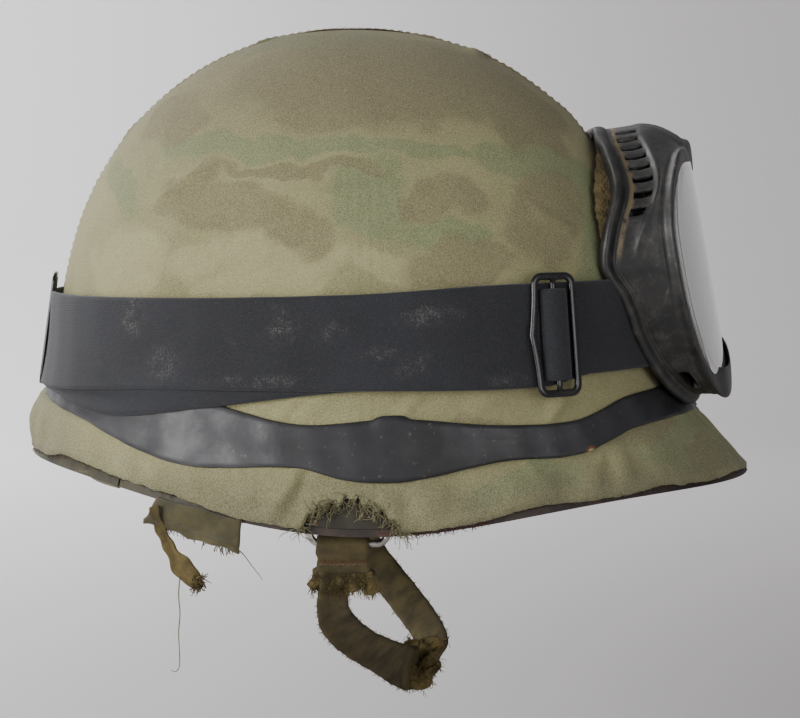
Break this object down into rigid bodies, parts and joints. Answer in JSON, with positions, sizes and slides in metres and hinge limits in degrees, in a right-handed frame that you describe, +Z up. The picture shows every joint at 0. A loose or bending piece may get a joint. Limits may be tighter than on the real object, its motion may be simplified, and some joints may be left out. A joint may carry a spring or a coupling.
{
  "type": "combat helmet",
  "caption": "Steel pot helmet with torn camouflage cloth cover, rubber band, rubber dust goggles on a wide elastic strap, wire bails and a hanging webbing chinstrap.",
  "frame": {"origin": "centre of the sweatband's lower edge, where the helmet sits on the head", "axes": "+X towards the brim and goggles, +Y towards the wearer's left, +Z up to the crown"},
  "size_m": [0.2909, 0.2441, 0.271],
  "materials": {
    "painted_steel": "matt olive paint, chipped and rusty at the rim",
    "rim_steel": "matt olive paint worn to bare metal on the edge",
    "lug_steel": "matt olive paint",
    "bail_wire": "dull, tarnished",
    "camouflage_cloth": "faded woodland print on cotton twill",
    "seam_cloth": "folded and stitched twill",
    "torn_cloth": "frayed twill",
    "band_rubber": "aged inner-tube rubber",
    "liner_plastic": "olive moulded fibre",
    "liner_metal": "painted",
    "suspension_webbing": "woven cotton webbing",
    "sweatband_leather": "worn brown leather",
    "clip_metal": "dull blackened brass",
    "goggle_rubber": "aged moulded rubber, dusty in the grooves",
    "goggle_lens": "clear plastic, slightly hazed",
    "goggle_foam": "yellowed foam",
    "elastic_strap": "woven elastic",
    "slider_enamel": "gloss black enamel",
    "chinstrap_webbing": "worn cotton webbing",
    "frayed_webbing": "frayed and rust-stained webbing"
  },
  "bodies": {
    "helmet": {"steel_shell": "painted_steel", "rim_edging": "rim_steel", "bail_lug_right": "lug_steel", "bail_lug_left": "lug_steel", "cover_right_panel": "camouflage_cloth", "cover_left_panel": "camouflage_cloth", "cover_crown_seam": "seam_cloth", "cover_torn_flap": "torn_cloth", "cover_torn_strip": "torn_cloth", "rubber_band": "band_rubber", "liner_shell": "liner_plastic", "liner_rivets": "liner_metal", "suspension_washers": "liner_metal", "suspension_band_1": "suspension_webbing", "suspension_band_2": "suspension_webbing", "suspension_band_3": "suspension_webbing", "sweatband": "sweatband_leather", "sweatband_clips": "clip_metal", "sweatband_stays": "suspension_webbing", "sweatband_buckle": "clip_metal", "nape_strap": "suspension_webbing", "cover_tuck_front": "camouflage_cloth", "cover_tuck_front_left": "camouflage_cloth", "cover_tuck_rear_left": "camouflage_cloth", "cover_tuck_nape": "camouflage_cloth", "cover_tuck_rear_right": "camouflage_cloth", "cover_tuck_front_right": "camouflage_cloth"},
    "goggle_strap": {"goggle_strap_outer": "elastic_strap", "goggle_strap_doubled": "elastic_strap", "goggle_strap_end_right": "elastic_strap", "goggle_strap_end_left": "elastic_strap"},
    "goggles": {"goggle_frame": "goggle_rubber", "goggle_lens": "goggle_lens", "goggle_face_foam": "goggle_foam", "goggle_vent_foam": "goggle_foam"},
    "slider_right": {"slider_right": "slider_enamel", "goggle_strap_turn": "elastic_strap"},
    "slider_rear": {"slider_rear": "slider_enamel"},
    "bail_right": {"bail_right": "bail_wire"},
    "bail_left": {"bail_left": "bail_wire"},
    "wrap_right": {"chinstrap_wrap_right": "chinstrap_webbing", "chinstrap_collar_right": "frayed_webbing"},
    "wrap_left": {"chinstrap_wrap_left": "chinstrap_webbing", "chinstrap_collar_left": "frayed_webbing"},
    "chinstrap": {"chinstrap_right": "chinstrap_webbing", "chinstrap_left": "chinstrap_webbing", "chinstrap_knot": "frayed_webbing"}
  },
  "joints": [
    {"name": "goggles_raise", "type": "hinge", "parent": "helmet", "child": "goggle_strap", "pos_m": [-0.13, 0, 0.004], "axis": [0, -1, 0], "range_deg": [0, 12]},
    {"name": "goggles_pull", "type": "slide", "parent": "goggle_strap", "child": "goggles", "axis": [1, 0, 0], "range_m": [0, 0.03], "stiffness_N_per_m": 150, "deforming": ["goggle_strap_end_right", "goggle_strap_end_left"]},
    {"name": "slider_right_slide", "type": "slide", "parent": "goggle_strap", "child": "slider_right", "axis": [0.8637, 0.504, 0], "range_m": [-0.006, 0.006]},
    {"name": "slider_rear_slide", "type": "slide", "parent": "goggle_strap", "child": "slider_rear", "axis": [0.133, -0.9911, 0], "range_m": [-0.006, 0.006]},
    {"name": "bail_right_swing", "type": "hinge", "parent": "helmet", "child": "bail_right", "pos_m": [-0.003, -0.1095, -0.022], "axis": [1, 0, 0], "range_deg": [-15, 15]},
    {"name": "bail_left_swing", "type": "hinge", "parent": "helmet", "child": "bail_left", "pos_m": [-0.003, 0.1095, -0.022], "axis": [1, 0, 0], "range_deg": [-15, 15]},
    {"name": "wrap_right_swing", "type": "hinge", "parent": "bail_right", "child": "wrap_right", "pos_m": [-0.003, -0.1095, -0.036], "axis": [1, 0, 0], "range_deg": [-15, 15]},
    {"name": "wrap_left_swing", "type": "hinge", "parent": "bail_left", "child": "wrap_left", "pos_m": [-0.003, 0.1095, -0.036], "axis": [1, 0, 0], "range_deg": [-15, 15]},
    {"name": "chinstrap_swing", "type": "hinge", "parent": "wrap_right", "child": "chinstrap", "pos_m": [-0.007, -0.1, -0.057], "axis": [0, 1, 0], "range_deg": [-50, 50]}
  ],
  "couplings": [
    {"joint": "bail_left_swing", "follows": "bail_right_swing", "ratio": 1},
    {"joint": "wrap_right_swing", "follows": "bail_right_swing", "ratio": -1},
    {"joint": "wrap_left_swing", "follows": "bail_right_swing", "ratio": -1}
  ]
}
